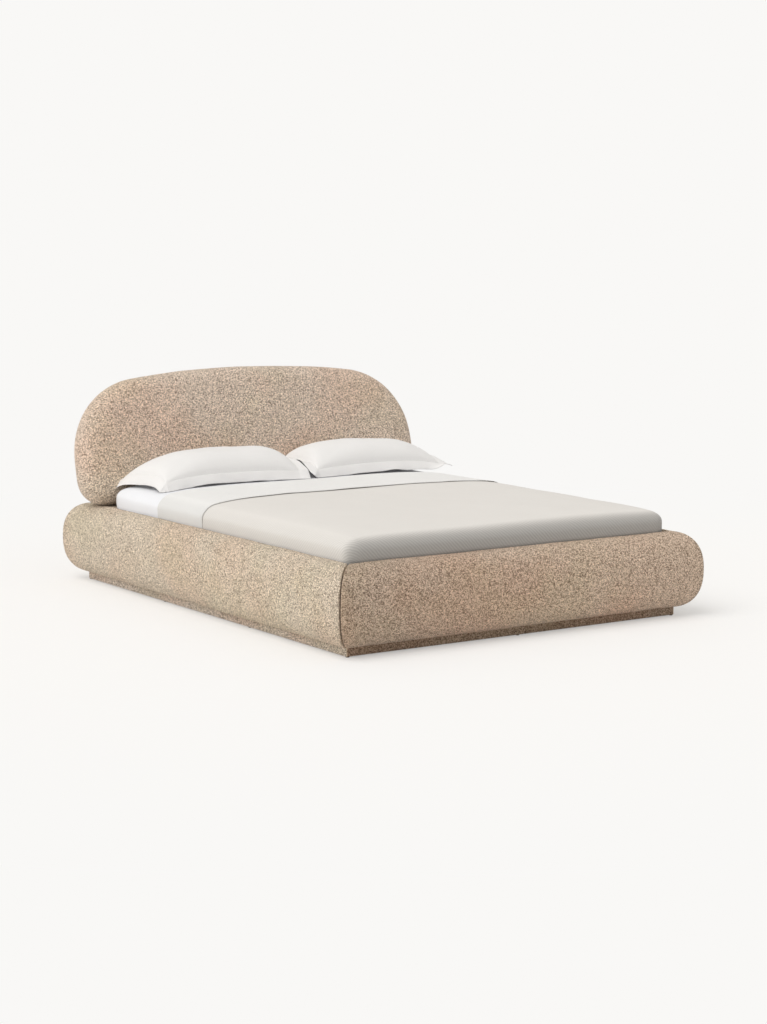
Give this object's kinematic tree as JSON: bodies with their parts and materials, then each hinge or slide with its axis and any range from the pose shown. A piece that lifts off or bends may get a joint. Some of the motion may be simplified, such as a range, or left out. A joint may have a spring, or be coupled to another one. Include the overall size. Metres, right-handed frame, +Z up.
{
  "type": "upholstered bed",
  "caption": "Low bed with thick round-nosed upholstered rails, a leaning pebble-shaped headboard, slatted base, mattress, bedding and pillows.",
  "frame": {"origin": "on the floor, at the middle of the bed's width and length", "axes": "+Z up, +Y from the foot towards the headboard, +X to the right seen from the foot"},
  "size_m": [1.852, 2.44, 0.9761],
  "materials": {
    "boucle": "looped boucle, beige with lighter and darker loops",
    "foam": "open-cell polyurethane foam",
    "plywood": "unfinished plywood",
    "black_steel": "black powder coat, fine texture",
    "zinc": "bright zinc plate",
    "pine": "planed pine",
    "birch": "planed birch with eased edges",
    "webbing": "woven tape",
    "felt": "pressed felt",
    "mattress_ticking": "knitted ticking",
    "white_sheet": "smooth white percale",
    "bedcover_cloth": "light grey cotton with a fine diagonal weave",
    "pillow_filling": "soft fibre filling in plain cotton",
    "pillowcase_linen": "washed off-white linen"
  },
  "bodies": {
    "frame": {"beam_hangers": "black_steel", "bearer_screws": "zinc", "centre_beam": "pine", "centre_leg_foot": "pine", "centre_leg_head": "pine", "corner_bolts": "zinc", "deck_bearer": "pine", "deck_board": "plywood", "deck_pad": "boucle", "floor_glides": "felt", "foot_rail_board": "plywood", "foot_rail_cover": "boucle", "foot_rail_foam": "foam", "head_rail_board": "plywood", "head_rail_cover": "boucle", "head_rail_foam": "foam", "headboard_core": "plywood", "headboard_cover": "boucle", "headboard_foam": "foam", "headboard_straps": "black_steel", "left_foot_bracket": "black_steel", "left_head_bracket": "black_steel", "left_rail_board": "plywood", "left_rail_cover": "boucle", "left_rail_foam": "foam", "plinth_board_foot": "plywood", "plinth_board_head": "plywood", "plinth_board_left": "plywood", "plinth_board_right": "plywood", "plinth_wrap": "boucle", "right_foot_bracket": "black_steel", "right_head_bracket": "black_steel", "right_rail_board": "plywood", "right_rail_cover": "boucle", "right_rail_foam": "foam", "slat_01": "birch", "slat_02": "birch", "slat_03": "birch", "slat_04": "birch", "slat_05": "birch", "slat_06": "birch", "slat_07": "birch", "slat_08": "birch", "slat_09": "birch", "slat_10": "birch", "slat_11": "birch", "slat_12": "birch", "slat_13": "birch", "slat_14": "birch", "slat_bearer_left": "pine", "slat_bearer_right": "pine", "slat_tapes": "webbing", "strap_bolts": "zinc"},
    "mattress": {"mattress": "mattress_ticking", "fitted_sheet": "white_sheet", "bedcover": "bedcover_cloth"},
    "pillow_left": {"pillow_left": "pillow_filling", "pillowcase_left": "pillowcase_linen"},
    "pillow_right": {"pillow_right": "pillow_filling", "pillowcase_right": "pillowcase_linen"}
  },
  "joints": [
    {"name": "mattress_lift", "type": "slide", "parent": "frame", "child": "mattress", "axis": [0, 0, 1], "range_m": [0, 0.5]},
    {"name": "pillow_left_lift", "type": "slide", "parent": "mattress", "child": "pillow_left", "axis": [0, 0, 1], "range_m": [0, 0.4]},
    {"name": "pillow_right_lift", "type": "slide", "parent": "mattress", "child": "pillow_right", "axis": [0, 0, 1], "range_m": [0, 0.4]}
  ]
}
